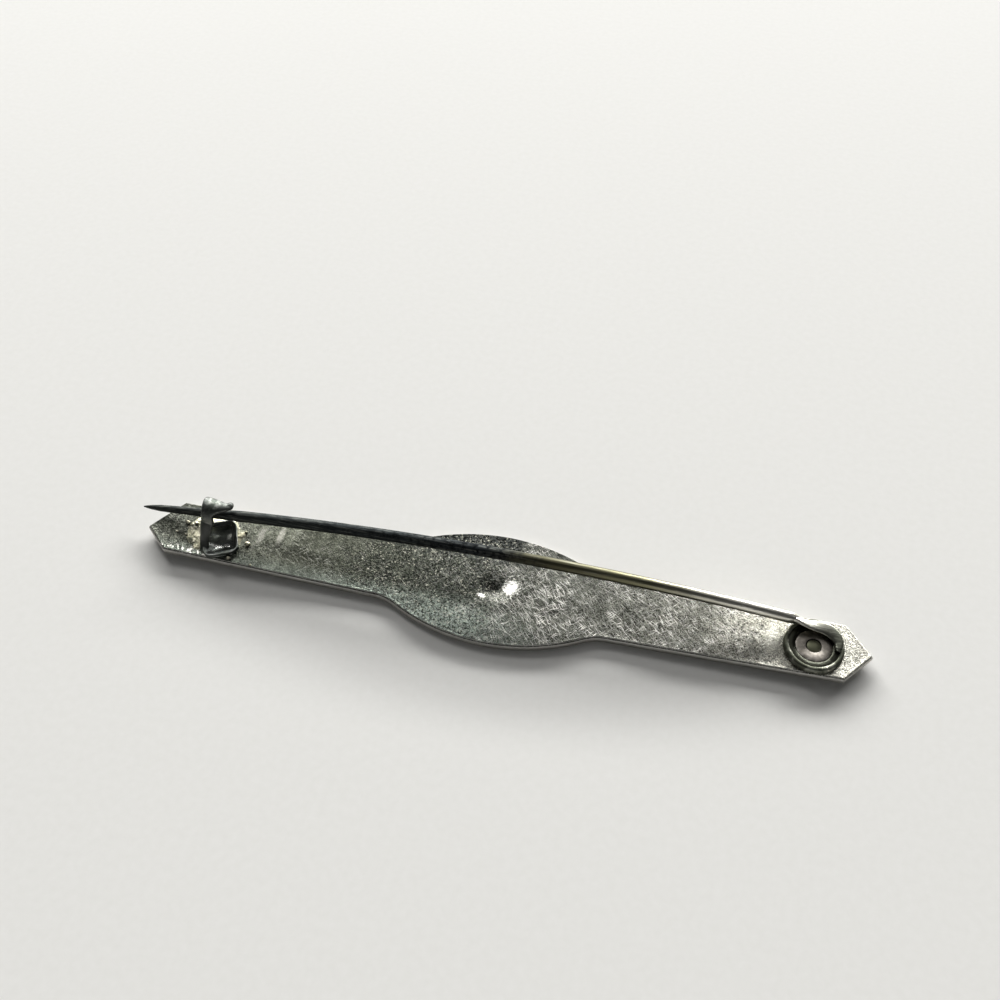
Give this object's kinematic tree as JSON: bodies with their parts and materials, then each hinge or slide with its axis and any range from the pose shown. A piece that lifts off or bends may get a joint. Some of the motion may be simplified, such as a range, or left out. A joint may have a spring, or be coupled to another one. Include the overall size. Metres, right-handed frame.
{
  "type": "bar brooch",
  "caption": "Plain bar brooch with pointed ends and a round swell, lying on its front, with a soldered hook catch and a bowed pin that swings on a riveted cup.",
  "frame": {"origin": "middle of the front of the bar, where it rests on a table", "axes": "+X along the bar towards the pin's joint, +Z out of the back, +Y the side the pin opens to"},
  "size_m": [0.061, 0.0104, 0.0042],
  "materials": {
    "bar_metal": "scratched, tarnished nickel silver",
    "cup_metal": "dark oxidised nickel silver",
    "rivet_metal": "dull, finely pitted",
    "pin_wire": "oxidised to near black at the point, worn bright at the joint"
  },
  "bodies": {
    "brooch": {"bar": "bar_metal", "joint_cup": "cup_metal", "rivet": "rivet_metal"},
    "pin_arm": {"pin": "pin_wire"}
  },
  "joints": [
    {"name": "pin_swing", "type": "hinge", "parent": "brooch", "child": "pin_arm", "pos_m": [0.0254, -0.00015, 0.0013], "axis": [0, 0, -1], "range_deg": [0, 120]}
  ]
}
